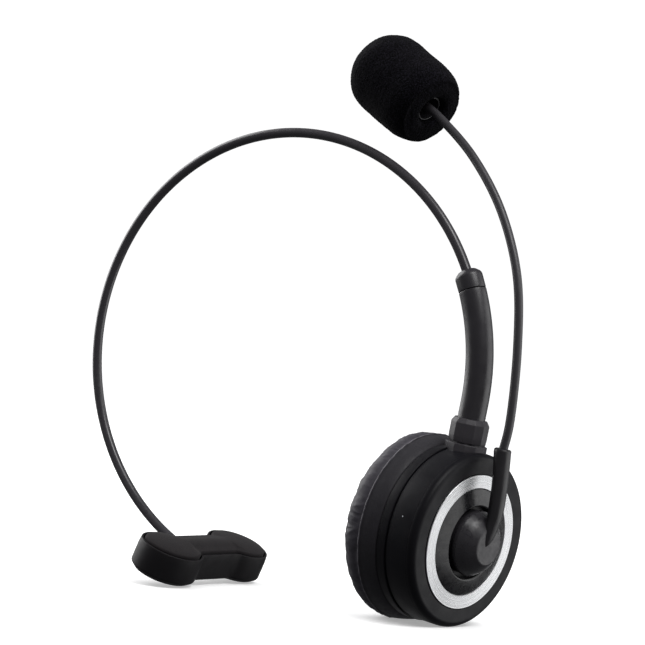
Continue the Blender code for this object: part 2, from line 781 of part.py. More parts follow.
def make_microphone(frame, foam, plastic, steel):
    """The foam windscreen, the holder on the boom's end, and the capsule in it."""
    axis = Vector((0, *FOAM_AXIS)).normalized()
    axes = facing(axis, Vector((0, *FOAM_END)))
    mic = empty("windscreen_axis", frame, axes)
    radius, length, bore = FOAM_R, FOAM_LENGTH, FOAM_BORE_R
    shoulder = [(bore, FOAM_BORE_DEPTH), (bore, 0.6), (bore + 2.0, 0.0)]
    near = []
    for turn in (14.0, 34.0, 60.0, 90.0):
        t = math.radians(turn)
        near.append((radius - 4.0 + 4.0 * math.sin(t), 9.5 - 9.5 * math.cos(t)))
    far = []
    for turn in (0.0, 20.0, 40.0, 60.0, 77.0):
        t = math.radians(turn)
        far.append((radius * math.cos(t), length - FOAM_DOME + FOAM_DOME * math.sin(t)))
    profile = [(0, FOAM_BORE_DEPTH), *shoulder, *near, *far, (0, length)]
    turned("foam_windscreen", profile, foam, mic, 32)
    turned(
        "mic_holder",
        [(0, 18.6), (4.7, 18.6), (4.7, 1.4), (4.1, 1.4), (4.1, 16.0), (0, 16.0)][::-1],
        plastic,
        mic,
    )
    disc("mic_capsule", 3.6, 9.8, 15.6, steel, mic)


# ---------------------------------------------------------------- the whole part


def clear_scene():
    for piece in list(bpy.data.objects):
        bpy.data.objects.remove(piece, do_unlink=True)


def main():
    clear_scene()
    satin = finish("satin_plastic", (0.018, 0.018, 0.020), 0.42)
    gloss = finish("gloss_plastic", (0.010, 0.010, 0.012), 0.08)
    rubber = finish("soft_rubber", (0.015, 0.015, 0.016), 0.65)
    leather = finish("leatherette", (0.016, 0.015, 0.016), 0.50)
    coating = finish("band_coating", (0.012, 0.012, 0.014), 0.30)
    silver = finish("spun_aluminium", (0.86, 0.87, 0.88), 0.25, 1.0)
    steel = finish("spring_steel", (0.55, 0.55, 0.56), 0.30, 1.0)
    brass = finish("brass", (0.70, 0.52, 0.25), 0.35, 1.0)
    cloth = finish("speaker_cloth", (0.010, 0.010, 0.010), 0.90)
    film = finish("diaphragm_film", (0.60, 0.55, 0.42), 0.35)
    board = finish("circuit_board", (0.02, 0.16, 0.07), 0.45)
    wrap = finish("battery_wrap", (0.62, 0.64, 0.68), 0.40, 0.6)
    lens = finish("light_pipe", (0.85, 0.88, 0.92), 0.15)
    foam = finish("foam", (0.008, 0.008, 0.010), 0.95)

    headset = empty("headset")
    yoke = empty("yoke_frame", headset, Matrix.Translation(BAND_CENTRE))
    band = empty("band_frame", headset, Matrix.Translation(BAND_CENTRE))
    stem = empty("stem_frame", yoke, stem_matrix())
    cup = empty("cup_frame", yoke, cup_matrix())
    arm = empty("arm_frame", cup)
    pad_pin = empty("pad_pin_frame", band, facing(onward(BAND_LAST), on_circle(BAND_LAST)))
    pad = empty("pad_frame", band, pad_matrix())

    make_sleeve(yoke, satin, brass)
    make_stem(stem, satin, steel)
    make_band(band, coating, steel)
    make_pad_pin(pad_pin, steel)
    make_pad(pad, satin, leather, satin, steel)
    make_cushion(cup, leather, satin, cloth)
    drum = make_housing(cup, satin, gloss, silver)
    make_collar(cup, satin)
    make_speaker(cup, steel, film)
    make_electronics(cup, board, steel, wrap, rubber)
    make_buttons(cup, drum, rubber)
    make_side_fittings(cup, drum, steel, lens, rubber)
    make_screws(cup, steel)
    make_arm(arm, satin, steel)
    make_boom(arm, rubber, steel)
    make_microphone(arm, foam, gloss, steel)


main()
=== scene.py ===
"""The looks of the office headset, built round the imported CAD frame.

Lengths in the pieces' own frames are in millimetres and are turned into metres by MM. Each piece is
modelled in the frame of the part that it belongs to (band, ear cup, temple pad, windscreen), and its
object carries that frame's matrix, so that its procedural textures follow the piece.
"""
import json
import math

import bmesh
import bpy
import numpy as np
from mathutils import Matrix, Vector, noise


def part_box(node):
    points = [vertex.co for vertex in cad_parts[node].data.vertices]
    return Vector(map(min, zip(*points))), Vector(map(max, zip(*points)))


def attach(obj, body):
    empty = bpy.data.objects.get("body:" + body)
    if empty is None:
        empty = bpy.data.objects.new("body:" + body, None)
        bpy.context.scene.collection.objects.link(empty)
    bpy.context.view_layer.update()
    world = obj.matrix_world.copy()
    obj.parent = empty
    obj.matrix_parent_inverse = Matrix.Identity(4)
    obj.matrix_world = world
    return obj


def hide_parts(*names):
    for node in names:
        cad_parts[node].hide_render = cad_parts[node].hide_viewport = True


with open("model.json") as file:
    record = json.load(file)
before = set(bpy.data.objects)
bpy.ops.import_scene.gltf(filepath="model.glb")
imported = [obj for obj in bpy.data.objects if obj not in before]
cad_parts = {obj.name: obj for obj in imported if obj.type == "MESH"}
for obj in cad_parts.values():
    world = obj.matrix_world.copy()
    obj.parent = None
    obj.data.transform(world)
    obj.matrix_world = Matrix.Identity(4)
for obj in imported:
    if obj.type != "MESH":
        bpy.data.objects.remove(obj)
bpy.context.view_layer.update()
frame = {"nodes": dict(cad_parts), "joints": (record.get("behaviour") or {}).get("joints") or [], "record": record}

MM = 0.001
SMOOTH_BELOW = math.radians(35)

# Camera and light, in metres and degrees. A panel is its direction, its size and its power.
CAMERA_PLACE = Vector((0.4683, -0.7641, 0.0974))
CAMERA_AZIMUTH, CAMERA_ELEVATION, CAMERA_ROLL = 31.04, 0.05, 6.16
CAMERA_LENS, SENSOR = 143.3, 36.0
FLOOR_REACH = 8.0
PANEL_TARGET, PANEL_DISTANCE = Vector((0.03, 0.0, 0.08)), 1.1
PANELS = {
    "right_panel": (Vector((0.86, 0.50, 0.02)), (1.35, 1.2), 6.3),
    "left_panel": (Vector((-0.93, 0.06, 0.38)), (1.1, 1.0), 9.5),
    "top_panel": (Vector((0.62, -0.20, 0.76)), (0.6, 0.6), 5.0),
}

# Driving sizes of the visible pieces, as in the CAD part.
SLEEVE_R, SLEEVE_BORE_R, SLEEVE_STRAIGHT = 4.7, 3.4, 5.9
BAND_R, BAND_BORE_R = 1.7, 1.35
BAND_FIRST, BAND_LAST = 7.15, 245.75
CAP_FIRST, CAP_LAST = 22.05, 27.05
CAP_BORE_R = 2.0
NUT_LOW, NUT_HIGH, NUT_R, NUT_FLATS = 31.9, 40.0, 6.7, 12
COLLAR_HIGH, COLLAR_R, COLLAR_BORE_R = 31.5, 7.2, 2.6
NUT_TURN, COLLAR_TURN = 67.5, -4.0
CUSHION_SEAM_Z, CUSHION_BASE_Z = -12.0, -6.1
CLOTH_R, CLOTH_Z, CLOTH_RISE, CLOTH_THICK = 12.0, -4.7, 0.35, 0.25
REAR_R, REAR_LOW, REAR_HIGH, SPEAKER_HOLE_R = 30.1, -5.95, -2.5, 12.8
HOUSING_R, HOUSING_WALL, DRUM_LOW = 29.7, 1.6, -2.3
BEZEL_SEAM_Z, BEZEL_ROUNDING, RIM_R, FACE_Z = 6.5, 2.4, 29.4, 9.4
RING_R, RING_BORE_R, RING_Z, RING_GROOVES = 22.9, 18.3, 9.8, 13
HUB_R, HUB_TOP_R, HUB_TOP, HUB_SHOULDER = 11.2, 6.2, 17.6, 12.0
DISC_BORE_R, DISC_TOP = 12.4, 11.0
BUTTON_Z, BUTTON_HALF_HEIGHT, BUTTON_PROUD, BUTTON_GAP = 2.2, 1.6, 0.9, 0.22
BUTTON_HALF_LENGTHS = {"call": 4.2, "volume_up": 3.4, "volume_down": 3.4}
SOCKET_Z, SOCKET_HALF_LENGTH, SOCKET_HALF_HEIGHT = 2.4, 4.5, 1.6
LIGHT_Z, LIGHT_R = 2.0, 0.28
PAD_HALF_LENGTH, PAD_HALF_WIDTH, WAIST_HALF_WIDTH, LOBE_HALF_LENGTH = 33.7, 11.3, 7.8, 12.9
PAD_OUTER, PAD_RIM, PAD_FACE, PAD_CROWN = 5.07, -5.6, -6.9, 0.75
FOAM_R, FOAM_LENGTH, FOAM_BORE_R, FOAM_BORE_DEPTH = 14.75, 36.3, 4.9, 12.0
FOAM_CORNER, FOAM_DOME = (3.9, 9.8), 12.75
HOLDER_R, HOLDER_BORE_R = 4.6, 4.1
FOAM_END, FOAM_AXIS = (138.9, -42.2), (0.420, -0.9075)
BOOM_R, BOOM_BORE_R = 1.5, 0.95
BOOM_ROUTE = [
    (29.6, 15.1),
    (43.0, 15.8),
    (67.0, 12.8),
    (90.0, 6.8),
    (110.0, -4.9),
    (126.0, -20.9),
    (137.0, -38.0),
    (142.9, -51.0),
]


# ---------------------------------------------------------------- frames


joints = {joint["name"]: joint for joint in frame["joints"]}
mounts = {mount["name"]: mount for mount in frame["record"]["mounts"]}


def joint_place(name):
    return Vector(joints[name]["pos_m"])


def joint_axis(name):
    return Vector(joints[name]["axis"]).normalized()


def basis(x_axis, y_axis, z_axis, place):
    matrix = Matrix((x_axis, y_axis, z_axis)).transposed().to_4x4()
    return Matrix.Translation(place) @ matrix


def facing(direction, place):
    """A frame at place whose Z points along direction."""
    rotation = Vector(direction).to_track_quat("Z", "Y").to_matrix().to_4x4()
    return Matrix.Translation(place) @ rotation


STEM_UP = joint_axis("cup_swivel")
CUP_OUT = joint_axis("mic_arm_turn")
BAND_FRAME = Matrix.Translation(joint_place("band_adjust"))
CUP_FRAME = basis(STEM_UP.cross(CUP_OUT), STEM_UP, CUP_OUT, joint_place("mic_arm_turn"))
PAD_OUT = Vector(mounts["pad_back_face"]["axis"]).normalized()
PAD_ACROSS = Vector((0, -1, 0))
PAD_FRAME = basis(
    PAD_ACROSS.cross(PAD_OUT),
    PAD_ACROSS,
    PAD_OUT,
    Vector(mounts["pad_back_face"]["pos_m"]) - PAD_OUT * PAD_OUTER * MM,
)
WINDSCREEN_FRAME = CUP_FRAME @ facing((0, *FOAM_AXIS), Vector((0, *FOAM_END)) * MM)

band_to_stem = (joint_place("cup_swivel") - joint_place("band_adjust")) / MM
BAND_RADIUS = band_to_stem.length
STEM_ANGLE = math.degrees(math.atan2(band_to_stem.z, band_to_stem.x))


def on_circle(angle, radius=BAND_RADIUS):
    """A point round the band's centre, in the band's frame; the angle runs from +X over +Z."""
    turn = math.radians(angle)
    return np.array((radius * math.cos(turn), 0.0, radius * math.sin(turn)))


# ---------------------------------------------------------------- meshes


def as_piece(name, verts, faces, material, matrix):
    """A smooth-shaded mesh object, faces outwards, whose points are in millimetres of its frame."""
    bm = bmesh.new()
    made = [bm.verts.new(point) for point in np.asarray(verts) * MM]
    for face in faces:
        bm.faces.new([made[i] for i in face])
    bmesh.ops.remove_doubles(bm, verts=bm.verts, dist=2e-7)
    bmesh.ops.dissolve_degenerate(bm, edges=bm.edges, dist=1e-8)
    bmesh.ops.recalc_face_normals(bm, faces=bm.faces)
    mesh = bpy.data.meshes.new(name)
    bm.to_mesh(mesh)
    bm.free()
    mesh.shade_smooth()
    mesh.set_sharp_from_angle(angle=SMOOTH_BELOW)
    mesh.materials.append(material)
    piece = bpy.data.objects.new(name, mesh)
    bpy.context.scene.collection.objects.link(piece)
    piece.matrix_world = matrix
    return piece


def skinned(name, rows, material, matrix, closed=False):
    """A closed surface through equal loops. Its ends are capped, or joined to each other if closed."""
    rows = np.asarray(rows, float)
    count, sides = rows.shape[:2]
    index = np.arange(count * sides).reshape(count, sides)
    turned_index = np.roll(index, -1, axis=1)
    quads = [index[:-1], turned_index[:-1], turned_index[1:], index[1:]]
    faces = np.stack(quads, -1).reshape(-1, 4).tolist()
    if closed:
        ends = [index[-1], turned_index[-1], turned_index[0], index[0]]
        faces += np.stack(ends, -1).tolist()
    else:
        faces += [index[0].tolist(), index[-1].tolist()]
    return as_piece(name, rows.reshape(-1, 3), faces, material, matrix)


def rounded(corners, closed=True, steps=5):
    """An outline through (x, y, fillet radius) corners, each fillet an arc."""
    points = []
    count = len(corners)
    for i, (x, y, fillet) in enumerate(corners):
        here = Vector((x, y))
        if fillet == 0 or (not closed and i in (0, count - 1)):
            points.append((x, y))
            continue
        before = (Vector(corners[i - 1][:2]) - here).normalized()
        after = (Vector(corners[(i + 1) % count][:2]) - here).normalized()
        half = before.angle(after) / 2
        centre = here + (before + after).normalized() * fillet / math.sin(half)
        reach = fillet / math.tan(half)
        first = here + before * reach - centre
        last = here + after * reach - centre
        for step in range(steps + 1):
            spoke = first.lerp(last, step / steps).normalized() * fillet
            points.append(tuple(centre + spoke))
    return points


def ring_rows(profile, sides):
    """The rows of a (radius, height) profile turned about Z."""
    turns = np.arange(sides) * math.tau / sides
    profile = np.asarray(profile, float)
    rows = np.empty((len(profile), sides, 3))
    rows[..., 0] = profile[:, :1] * np.cos(turns)
    rows[..., 1] = profile[:, :1] * np.sin(turns)
    rows[..., 2] = profile[:, 1:]
    return rows


def turned(name, profile, material, matrix, sides=192):
    """A turned solid. The profile is a closed outline, or starts and ends on the axis."""
    closed = profile[0][0] > 0
    return skinned(name, ring_rows(profile, sides), material, matrix, closed)


def swept_rows(stations, sides):
    """Loops round (centre, across, up, radius) stations."""
    turns = (np.arange(sides) * math.tau / sides)[:, None]
    rows = []
    for centre, across, up, radius in stations:
        spokes = np.asarray(across) * np.cos(turns) + np.asarray(up) * np.sin(turns)
        rows.append(np.asarray(centre) + spokes * radius)
    return rows


def smooth_curve(points, per_span):
    """Points on a Catmull-Rom curve through rows of numbers."""
    points = np.asarray(points, float)
    ends = np.vstack([2 * points[0] - points[1], points, 2 * points[-1] - points[-2]])
    curve = []
    for a, b, c, d in zip(ends, ends[1:], ends[2:], ends[3:]):
        for t in np.arange(per_span) / per_span:
            square = (2 * a - 5 * b + 4 * c - d) * t**2
            cube = (3 * b - a - 3 * c + d) * t**3
            curve.append((2 * b + (c - a) * t + square + cube) / 2)
    return np.array(curve + [points[-1]])


def cut(piece, cutter):
    """Cuts cutter out of piece for good and removes the cutter."""
    modifier = piece.modifiers.new("Cut", "BOOLEAN")
    modifier.object = cutter
    bpy.context.view_layer.update()
    graph = bpy.context.evaluated_depsgraph_get()
    mesh = bpy.data.meshes.new_from_object(piece.evaluated_get(graph))
    piece.modifiers.clear()
    piece.data = mesh
    mesh.set_sharp_from_angle(angle=SMOOTH_BELOW)
    bpy.data.objects.remove(cutter, do_unlink=True)


def finished(piece, body, slot, *nodes):
    """Ties a piece to its CAD body and hides the CAD nodes that it stands for; its material slot is not used."""
    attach(piece, body)
    if nodes:
        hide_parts(*nodes)


# ---------------------------------------------------------------- materials


class Surface:
    """A Principled material with short ways to add textures to it. Sizes are in millimetres."""

    def __init__(self, name, colour, roughness, metallic=0.0):
        self.material = bpy.data.materials.new(name)
        self.material.use_nodes = True
        self.tree = self.material.node_tree
        self.shader = self.tree.nodes["Principled BSDF"]
        self.coordinates = self.tree.nodes.new("ShaderNodeTexCoord").outputs["Object"]
        self.colour, self.roughness = colour, roughness
        self.set("Base Color", (*colour, 1.0))
        self.set("Roughness", roughness)
        self.set("Metallic", metallic)
        self.normal = None

    def set(self, socket, value):
        self.shader.inputs[socket].default_value = value

    def node(self, kind, **inputs):
        made = self.tree.nodes.new(kind)
        for key, value in inputs.items():
            socket = made.inputs[key.replace("_", " ")]
            if isinstance(value, bpy.types.NodeSocket):
                self.tree.links.new(value, socket)
            else:
                socket.default_value = value
        return made

    def noise(self, size, detail=2.0, vector=None, distortion=0.0):
        vector = vector or self.coordinates
        made = self.node("ShaderNodeTexNoise", Vector=vector, Scale=1 / (size * MM), Detail=detail)
        made.inputs["Distortion"].default_value = distortion
        return made.outputs[0]

    def cells(self, size, feature="F1"):
        made = self.node("ShaderNodeTexVoronoi", Vector=self.coordinates, Scale=1 / (size * MM))
        made.feature = feature
        return made.outputs["Distance"]

    def axes(self):
        """The object's X, Y and Z at the shaded point."""
        return self.node("ShaderNodeSeparateXYZ", Vector=self.coordinates).outputs

    def math(self, operation, first, second=0.0):
        made = self.tree.nodes.new("ShaderNodeMath")
        made.operation = operation
        for socket, value in zip(made.inputs, (first, second)):
            if isinstance(value, bpy.types.NodeSocket):
                self.tree.links.new(value, socket)
            else:
                socket.default_value = value
        return made.outputs[0]

    def ranged(self, value, low, high, to_low, to_high):
        limits = {"From_Min": low, "From_Max": high, "To_Min": to_low, "To_Max": to_high}
        return self.node("ShaderNodeMapRange", Value=value, **limits).outputs[0]

    def mottled(self, factor, low, high):
        """Base colour between low and high times its own value, by a 0 to 1 factor."""
        mix = self.tree.nodes.new("ShaderNodeMix")
        mix.data_type = "RGBA"
        self.tree.links.new(factor, mix.inputs[0])
        mix.inputs[6].default_value = (*(c * low for c in self.colour), 1.0)
        mix.inputs[7].default_value = (*(c * high for c in self.colour), 1.0)
        self.tree.links.new(mix.outputs[2], self.shader.inputs["Base Color"])

    def overlaid(self, factor, colour):
        """Lays another colour over the base colour by a 0 to 1 factor."""
        base = self.shader.inputs["Base Color"]
        mix = self.tree.nodes.new("ShaderNodeMix")
        mix.data_type = "RGBA"
        self.tree.links.new(factor, mix.inputs[0])
        self.tree.links.new(base.links[0].from_socket, mix.inputs[6])
        mix.inputs[7].default_value = (*colour, 1.0)
        self.tree.links.new(mix.outputs[2], base)

    def rough_between(self, factor, low, high):
        self.tree.links.new(self.ranged(factor, 0.3, 0.7, low, high), self.shader.inputs["Roughness"])

    def bumped(self, height, depth, strength=1.0):
        """Adds a bump of that depth in millimetres on top of the ones before."""
        bump = self.node("ShaderNodeBump", Height=height, Strength=strength, Distance=depth * MM)
        if self.normal is not None:
            self.tree.links.new(self.normal, bump.inputs["Normal"])
        self.normal = bump.outputs[0]
        self.tree.links.new(self.normal, self.shader.inputs["Normal"])

    def done(self):
        return self.material


def moulded(name, colour, roughness, grain=0.22, depth=0.004, specular=0.45):
    """Injection-moulded plastic: a fine even grain, faint flow mottling and uneven sheen."""
    surface = Surface(name, colour, roughness)
    surface.set("Specular IOR Level", specular)
    surface.mottled(surface.noise(9.0, 3.0), 0.8, 1.25)
    surface.rough_between(surface.noise(4.0, 4.0), roughness - 0.06, roughness + 0.06)
    surface.bumped(surface.noise(grain, 3.0), depth)
    surface.bumped(surface.cells(grain * 1.7), depth * 0.6)
    return surface.done()


def lacquered(name, colour, roughness):
    """Glossy black plastic with faint wiping marks."""
    surface = Surface(name, colour, roughness)
    surface.mottled(surface.noise(14.0, 2.0), 0.85, 1.2)
    surface.rough_between(surface.noise(3.0, 5.0, distortion=1.5), roughness * 0.7, roughness * 1.6)
    surface.set("Coat Weight", 0.15)
    surface.set("Coat Roughness", 0.18)
    surface.bumped(surface.noise(6.0, 2.0), 0.010)
    return surface.done()


def leather(name, colour, roughness, pore=0.55, crease=3.2, depth=0.05, seam_z=0.0):
    """Leatherette with a pebbled grain and soft creases, painted darker in the crease hollows; painted shade on
    the skirt past the sewn seam, and along the seam a pale painted highlight of the piping, broken into stitches.
    """
    surface = Surface(name, colour, roughness)
    creases = surface.noise(crease, 5.0, distortion=0.8)
    # Painted shade and highlight: the colour follows the crease relief bumped below, darker in the hollows and
    # lighter on the ridges.
    surface.mottled(creases, 0.7, 1.5)
    height = surface.axes()[2]
    # Painted shade: the skirt between the seam and the housing is darkened towards (0.015, 0.014, 0.0165).
    skirt = surface.ranged(height, seam_z * MM, (seam_z + 0.4) * MM, 0, 0.75)
    surface.overlaid(skirt, (0.015, 0.0140, 0.0165))
    # Painted highlight: the pale (0.20, 0.19, 0.21) line along the seam piping below, broken into stitches, stands
    # in for light caught on the piping.
    away = surface.math("ABSOLUTE", surface.math("SUBTRACT", height, seam_z * MM))
    seam_line_highlight = surface.ranged(away, 0.10 * MM, 0.34 * MM, 1, 0)
    stitches = surface.ranged(surface.noise(1.4, 1.0), 0.35, 0.5, 0.35, 1)
    surface.overlaid(surface.math("MULTIPLY", seam_line_highlight, stitches), (0.20, 0.19, 0.21))
    surface.rough_between(surface.noise(1.6, 4.0), roughness - 0.10, roughness + 0.12)
    surface.set("Sheen Weight", 0.06)
    surface.set("Sheen Roughness", 0.5)
    surface.set("Specular IOR Level", 0.32)
    surface.bumped(creases, depth * 2.2)
    surface.bumped(surface.cells(pore, "DISTANCE_TO_EDGE"), depth)
    surface.bumped(surface.noise(0.16, 3.0), depth * 0.3)
    return surface.done()


def brushed_velvet(name, colour, roughness):
    """The temple pad's soft-touch face: short nap, no gloss."""
    surface = Surface(name, colour, roughness)
    surface.mottled(surface.noise(5.0, 5.0), 0.75, 1.3)
    surface.rough_between(surface.noise(0.8, 3.0), roughness - 0.05, roughness + 0.05)
    surface.set("Sheen Weight", 0.06)
    surface.set("Sheen Roughness", 0.45)
    surface.set("Specular IOR Level", 0.12)
    surface.bumped(surface.noise(0.35, 5.0), 0.05)
    surface.bumped(surface.cells(0.5), 0.03)
    return surface.done()


def sponge(name, colour):
    """Open-cell foam: sharp-edged pits on top of the modelled cells, and paler specks."""
    surface = Surface(name, colour, 0.95)
    pits = surface.cells(0.42)
    specks = surface.ranged(surface.noise(0.45, 3.0), 0.45, 0.65, 0, 1)
    surface.mottled(specks, 0.35, 5.0)
    surface.set("Specular IOR Level", 0.06)
    surface.set("Sheen Weight", 0.02)
    surface.bumped(pits, 0.16)
    surface.bumped(surface.noise(0.2, 4.0), 0.06)
    return surface.done()


def spun_metal(name, colour, roughness, pitch):
    """Metal turned on a lathe about its own Z: concentric tool marks, stretched highlights."""
    surface = Surface(name, colour, roughness, 1.0)
    x, y = surface.axes()[:2]
    square = surface.math("ADD", surface.math("MULTIPLY", x, x), surface.math("MULTIPLY", y, y))
    radius = surface.math("SQRT", square)
    across = surface.node("ShaderNodeCombineXYZ", X=radius).outputs[0]
    marks = surface.noise(pitch, 2.0, vector=across)
    bands = surface.ranged(surface.noise(pitch * 2, 2.0, vector=across), 0.3, 0.7, 0, 1)
    surface.mottled(bands, 0.72, 1.06)
    surface.rough_between(marks, roughness - 0.05, roughness + 0.10)
    surface.set("Anisotropic", 0.8)
    surface.bumped(marks, 0.026)
    surface.bumped(surface.noise(0.8, 3.0), 0.002)
    return surface.done()


def plain_metal(name, colour, roughness, grain=0.3):
    """Bright or plated metal with fine drawing marks."""
    surface = Surface(name, colour, roughness, 1.0)
    surface.mottled(surface.noise(4.0, 4.0), 0.8, 1.1)
    surface.rough_between(surface.noise(0.9, 4.0), roughness - 0.08, roughness + 0.12)
    surface.bumped(surface.noise(grain, 3.0), 0.004)
    return surface.done()


def woven(name, colour, pitch):
    """Fine acoustic cloth: two crossed sets of threads."""
    surface = Surface(name, colour, 0.85)
    x, y = surface.axes()[:2]
    turns = math.tau / (pitch * MM)
    threads = [surface.math("SINE", surface.math("MULTIPLY", axis, turns)) for axis in (x, y)]
    weave = surface.math("MULTIPLY", threads[0], threads[1])
    surface.mottled(surface.ranged(weave, -1, 1, 0, 1), 0.4, 2.2)
    surface.set("Sheen Weight", 0.2)
    surface.bumped(weave, 0.06)
    return surface.done()


def printed_board(name, colour):
    """Solder mask over copper lanes."""
    surface = Surface(name, colour, 0.35)
    lanes = surface.cells(1.6, "DISTANCE_TO_EDGE")
    surface.mottled(surface.ranged(lanes, 0.0, 0.12, 0, 1), 1.9, 0.9)
    surface.rough_between(surface.noise(2.0), 0.28, 0.42)
    surface.bumped(surface.ranged(lanes, 0.04, 0.08, 1, 0), 0.03)
    return surface.done()


def frosted(name, colour, roughness):
    """Clear or frosted plastic, a little cloudy."""
    surface = Surface(name, colour, roughness)
    surface.mottled(surface.noise(1.2, 3.0), 0.85, 1.05)
    surface.rough_between(surface.noise(0.5, 3.0), roughness - 0.05, roughness + 0.1)
    surface.set("Coat Weight", 0.5)
    return surface.done()


nut_plastic = moulded("nut_plastic", (0.0470, 0.0440, 0.0495), 0.40, specular=0.35)
satin = moulded("satin_plastic", (0.0072, 0.0069, 0.0088), 0.36, specular=0.20)
bezel_plastic = moulded("bezel_plastic", (0.0062, 0.0060, 0.0078), 0.42, specular=0.19)
arm_plastic = moulded("arm_plastic", (0.0160, 0.0150, 0.0170), 0.34, specular=0.60)
sleeve_plastic = moulded("sleeve_plastic", (0.0240, 0.0220, 0.0260), 0.38, depth=0.003, specular=0.85)
tray_plastic = moulded("tray_plastic", (0.0115, 0.0106, 0.0117), 0.50, specular=0.25)
gloss = lacquered("gloss_plastic", (0.0060, 0.0058, 0.0072), 0.24)
hub_plastic = lacquered("hub_plastic", (0.0240, 0.0225, 0.0260), 0.32)
rubber = moulded("soft_rubber", (0.0120, 0.0115, 0.0120), 0.55, grain=0.3, depth=0.008)
boom_rubber = moulded("boom_rubber", (0.0400, 0.0375, 0.0425), 0.40, grain=0.3, depth=0.006, specular=0.8)
coating = moulded("band_coating", (0.0450, 0.0420, 0.0475), 0.28, grain=0.4, depth=0.003, specular=0.8)
cushion_leather = leather("leatherette", (0.0420, 0.0390, 0.0480), 0.52, seam_z=CUSHION_SEAM_Z - 0.1)
pad_face = brushed_velvet("pad_face", (0.0140, 0.0122, 0.0132), 0.85)
foam_black = sponge("foam", (0.0020, 0.0018, 0.0027))
silver = spun_metal("spun_aluminium", (0.88, 0.89, 0.90), 0.25, 0.28)
steel = plain_metal("spring_steel", (0.55, 0.55, 0.56), 0.28)
brass = plain_metal("brass", (0.70, 0.52, 0.25), 0.32)
cloth = woven("speaker_cloth", (0.010, 0.010, 0.011), 0.6)
film = frosted("diaphragm_film", (0.60, 0.55, 0.42), 0.30)
board = printed_board("circuit_board", (0.02, 0.16, 0.07))
wrap = plain_metal("battery_wrap", (0.62, 0.64, 0.68), 0.35, grain=1.2)
lens = frosted("light_pipe", (0.85, 0.88, 0.92), 0.20)

SLOT_MATERIALS = {
    "satin_plastic": satin,
    "gloss_plastic": gloss,
    "soft_rubber": rubber,
    "leatherette": cushion_leather,
    "band_coating": coating,
    "spun_aluminium": silver,
    "spring_steel": steel,
    "brass": brass,
    "speaker_cloth": cloth,
    "diaphragm_film": film,
    "circuit_board": board,
    "battery_wrap": wrap,
    "light_pipe": lens,
    "foam": foam_black,
}


def dress_cad_nodes():
    """Gives each CAD node that stays the procedural material of its slot."""
    for subpart in frame["record"]["subparts"]:
        node = frame["nodes"][subpart["node"]]
        for material_slot in node.material_slots:
            material_slot.material = SLOT_MATERIALS[subpart["material_slot"]]


# ---------------------------------------------------------------- sleeve, nut and collar


ACROSS = np.array((0.0, 1.0, 0.0))


def sleeve_station(distance, radius):
    """A station on the sleeve's line, distance in mm along it from the foot of its arc."""
    if distance < 0:
        out = on_circle(STEM_ANGLE, 1.0)
        centre = on_circle(STEM_ANGLE) + on_circle(STEM_ANGLE + 90, 1.0) * distance
    else:
        angle = STEM_ANGLE + math.degrees(distance / BAND_RADIUS)
        out = on_circle(angle, 1.0)
        centre = on_circle(angle)
    return centre, out, ACROSS, radius


def arc_length(angle):
    return math.radians(angle - STEM_ANGLE) * BAND_RADIUS


def make_sleeve():
    """The curved sleeve that the band slides in."""
    top = arc_length(CAP_FIRST) - 0.08
    outline = [(-SLEEVE_STRAIGHT, SLEEVE_R, 0), (top, SLEEVE_R, 0.28), (top, SLEEVE_BORE_R, 0)]
    outer = rounded(outline, closed=False)
    spread = np.linspace(-SLEEVE_STRAIGHT, outer[1][0], 60)[:-1]
    stations = [(s, SLEEVE_R) for s in spread] + outer[1:]
    stations += [(s, SLEEVE_BORE_R) for s in np.linspace(top, -SLEEVE_STRAIGHT, 24)[1:]]
    rows = swept_rows([sleeve_station(s, r) for s, r in stations], 56)
    tube = skinned("sleeve_tube_shell", rows, sleeve_plastic, BAND_FRAME, closed=True)
    finished(tube, "yoke", "satin_plastic", "sleeve_tube")


def make_cap():
    """The sleeve's rounded end, a seam's width above it."""
    low, high = arc_length(CAP_FIRST) + 0.08, arc_length(CAP_LAST)
    outline = [
        (low, CAP_BORE_R, 0),
        (low, SLEEVE_R, 0.28),
        (high - 1.6, SLEEVE_R + 0.05, 1.8),
        (high, SLEEVE_R - 1.7, 0.8),
        (high, CAP_BORE_R, 0.25),
    ]
    rows = swept_rows([sleeve_station(s, r) for s, r in rounded(outline, steps=8)], 56)
    cap = skinned("sleeve_cap_shell", rows, sleeve_plastic, BAND_FRAME, closed=True)
    finished(cap, "yoke", "satin_plastic", "sleeve_cap")


def flat_sided_rows(levels, turn, blend=0.05):
    """Rows of a flat-sided ring, its edges a little rounded, at (radius, height) levels about Y."""
    half = math.pi / NUT_FLATS
    offs = np.linspace(-blend, blend, 7)
    corners = math.radians(turn) + np.arange(NUT_FLATS)[:, None] * 2 * half
    turns = (corners + offs).ravel()
    reach = np.tile(math.cos(half) / np.cos(half - np.abs(offs)), NUT_FLATS)
    rows = []
    for radius, height in levels:
        x, z = radius * reach * np.cos(turns), radius * reach * np.sin(turns)
        rows.append(np.column_stack([x, np.full(len(turns), height), z]))
    return rows


def make_nut():
    """The nut under the sleeve: flat facets, a chamfered top and a rounded lower edge."""
    bore = SLEEVE_R + 0.12
    outline = [
        (bore, NUT_LOW + 0.05, 0),
        (NUT_R - 0.15, NUT_LOW + 0.05, 0.25),
        (NUT_R, NUT_LOW + 2.0, 2.0),
        (NUT_R, NUT_HIGH - 1.6, 0.5),
        (NUT_R - 1.1, NUT_HIGH, 0.35),
        (bore, NUT_HIGH, 0.08),
    ]
    rows = flat_sided_rows(rounded(outline, steps=4), NUT_TURN)
    nut = skinned("sleeve_nut_shell", rows, nut_plastic, CUP_FRAME, closed=True)
    finished(nut, "yoke", "satin_plastic", "sleeve_nut")


